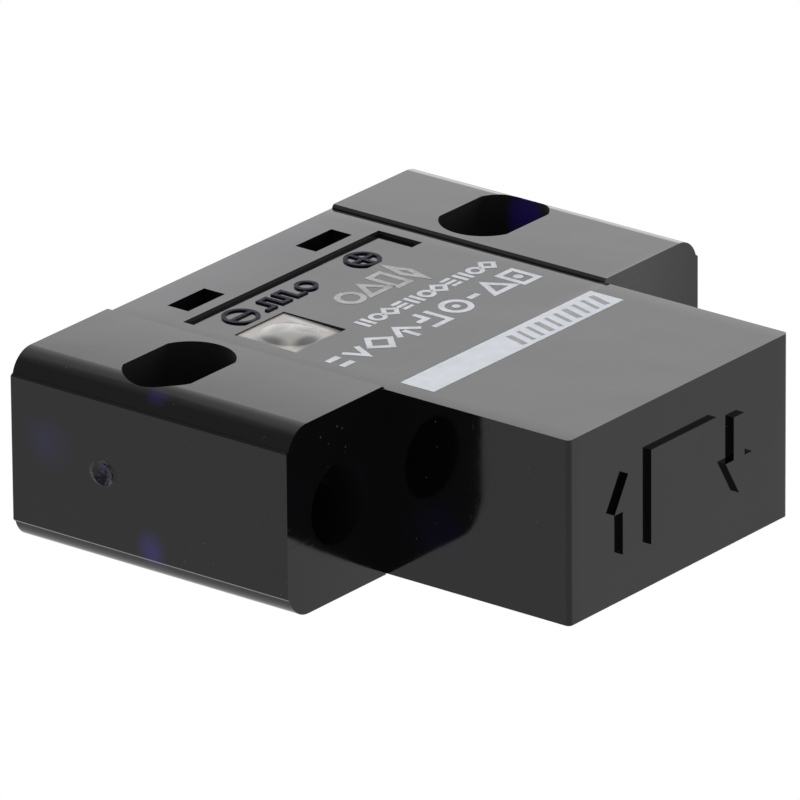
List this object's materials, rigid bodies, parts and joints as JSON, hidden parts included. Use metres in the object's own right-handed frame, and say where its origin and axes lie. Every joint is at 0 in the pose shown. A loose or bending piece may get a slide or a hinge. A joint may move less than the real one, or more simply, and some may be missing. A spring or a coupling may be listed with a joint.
{
  "type": "photoelectric sensor",
  "caption": "Compact T-shaped reflective photoelectric sensor with two slotted mounting wings, a square indicator window and a rear connector socket.",
  "frame": {"origin": "centre of the slotted mounting pattern, on the resting plane of the two wings", "axes": "-Y is the sensing direction, +Z is the marked top, X runs across the two mounting wings"},
  "size_m": [0.025, 0.0217, 0.0075],
  "materials": {
    "case_plastic": "glossy black moulding that blocks visible light, with a faint violet cast",
    "clear_lens": "clear moulded window",
    "base_plastic": "black moulding",
    "contact_metal": "tin-plated contact",
    "solder": "solder",
    "board": "green solder mask",
    "emitter_epoxy": "bluish clear epoxy",
    "receiver_epoxy": "dark epoxy that passes infrared",
    "lead_metal": "tinned lead frame",
    "holder_plastic": "black moulding",
    "ic_epoxy": "black epoxy",
    "led_body": "white light package",
    "resistor_body": "black chip with tinned ends",
    "ceramic_body": "tan ceramic with tinned ends",
    "tantalum_body": "yellow moulded body",
    "shield_metal": "tinned sheet"
  },
  "bodies": {
    "root": {"case": "case_plastic", "indicator_lens": "clear_lens", "terminal_base": "base_plastic", "terminal_pin_positive": "contact_metal", "terminal_pin_output": "contact_metal", "terminal_pin_negative": "contact_metal", "solder_joints": "solder", "circuit_board": "board", "emitter_package": "emitter_epoxy", "emitter_leads": "lead_metal", "receiver_package": "receiver_epoxy", "receiver_leads": "lead_metal", "optics_holder": "holder_plastic", "light_baffle": "holder_plastic", "signal_ic": "ic_epoxy", "signal_ic_leads": "lead_metal", "output_transistor": "ic_epoxy", "output_transistor_leads": "lead_metal", "indicator_led": "led_body", "chip_resistors": "resistor_body", "chip_capacitors": "ceramic_body", "tantalum_capacitor": "tantalum_body", "polarity_diode": "ic_epoxy", "shield_plate": "shield_metal"}
  },
  "joints": []
}
